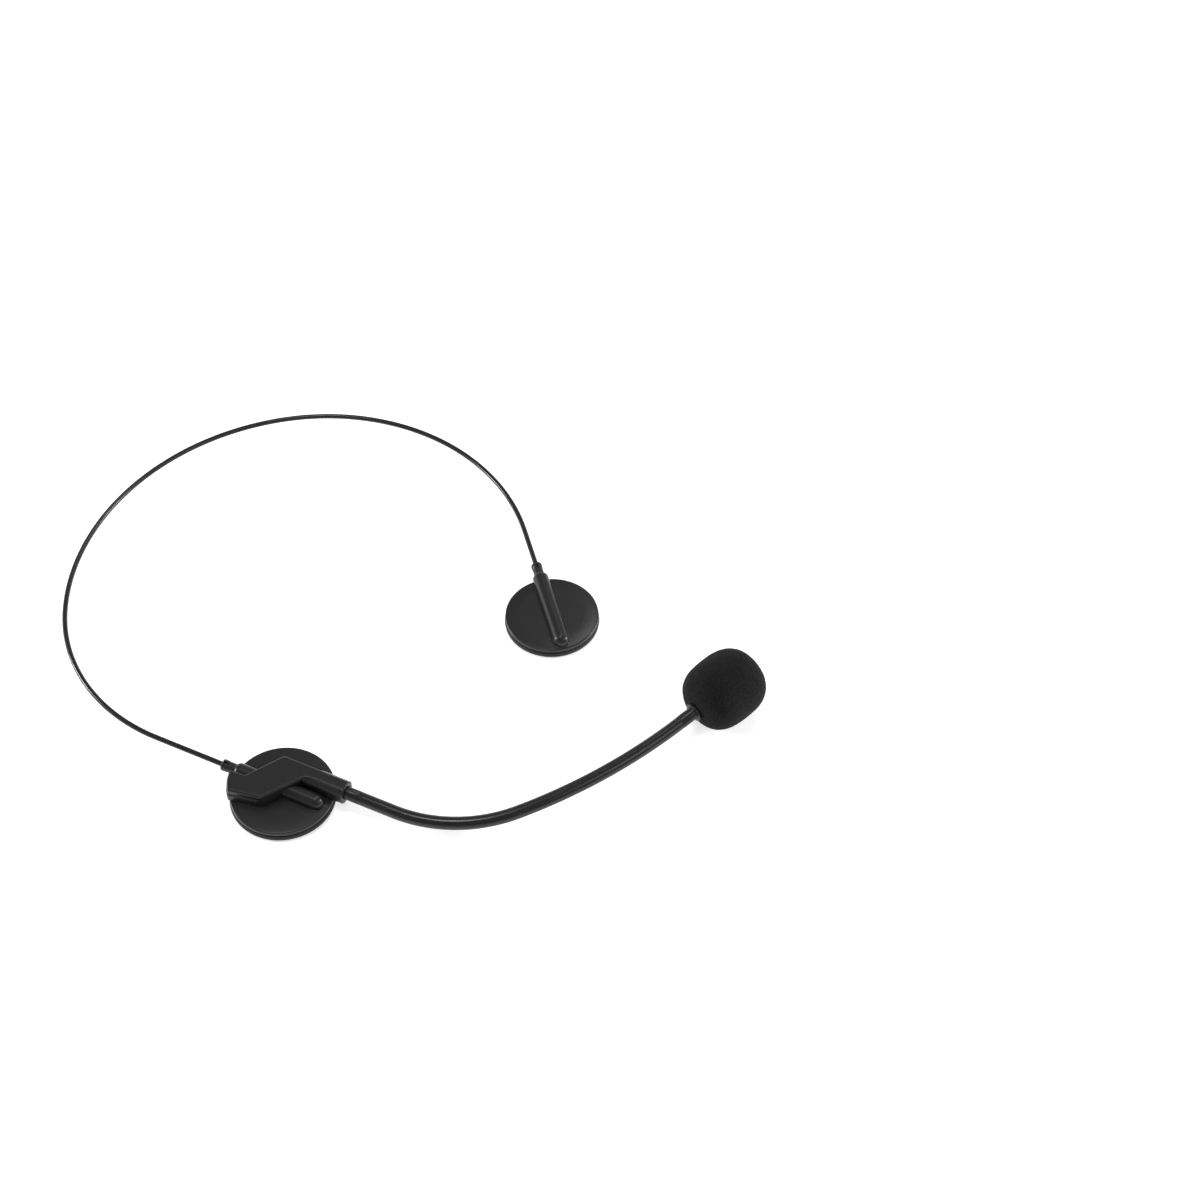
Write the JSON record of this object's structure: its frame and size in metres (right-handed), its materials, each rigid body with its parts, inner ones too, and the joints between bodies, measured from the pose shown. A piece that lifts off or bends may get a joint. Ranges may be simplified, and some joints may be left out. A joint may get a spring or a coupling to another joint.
{
  "type": "headset microphone",
  "caption": "Open sprung-wire headband with a round pad at each end; a bent boom in a Z-shaped bracket on one pad carries a microphone in a foam windscreen.",
  "frame": {"origin": "centre of the boom-side pad's cushion face, the face that rests on the head", "axes": "+Z out of the head, away from that face; +X along the pad's tube, away from the wire; +Y to the side the ring and the boom bend to"},
  "size_m": [0.3029, 0.2191, 0.0297],
  "materials": {
    "spring_steel": "bright drawn",
    "gloss_sleeve": "gloss",
    "hard_black": "satin, as moulded",
    "cushion_foam": "matte",
    "tape": "matte",
    "windscreen_foam": "matte, open cell",
    "capsule_metal": "satin"
  },
  "bodies": {
    "band": {"band_wire": "spring_steel", "band_sleeve": "gloss_sleeve", "wire_stop_boom_side": "spring_steel", "wire_stop_plain_side": "spring_steel"},
    "boom_pad": {"boom_pad_plate": "hard_black", "boom_pad_collar": "hard_black", "boom_pad_tape": "tape", "boom_pad_cushion": "cushion_foam", "boom_bracket": "hard_black"},
    "plain_pad": {"plain_pad_plate": "hard_black", "plain_pad_collar": "hard_black", "plain_pad_tape": "tape", "plain_pad_cushion": "cushion_foam"},
    "boom": {"boom_ferrule": "hard_black", "boom_sleeve": "gloss_sleeve", "boom_core": "spring_steel", "mic_neck": "hard_black", "capsule_housing": "hard_black", "mic_capsule": "capsule_metal", "capsule_grille": "hard_black"},
    "windscreen": {"windscreen": "windscreen_foam"}
  },
  "joints": [
    {"name": "boom_pad_swivel", "type": "hinge", "parent": "band", "child": "boom_pad", "pos_m": [0, 0, 0.0061], "axis": [1, 0, 0], "continuous": true},
    {"name": "plain_pad_swivel", "type": "hinge", "parent": "band", "child": "plain_pad", "pos_m": [0.05697, 0.12684, 0.0061], "axis": [0.6481, -0.7615, 0], "continuous": true},
    {"name": "boom_twist", "type": "hinge", "parent": "boom_pad", "child": "boom", "pos_m": [0, 0.0083, 0.0073], "axis": [1, 0, 0], "range_deg": [-180, 180]},
    {"name": "windscreen_pull", "type": "slide", "parent": "boom", "child": "windscreen", "axis": [0.3987, 0.9147, 0.0655], "range_m": [0, 0.03]}
  ]
}
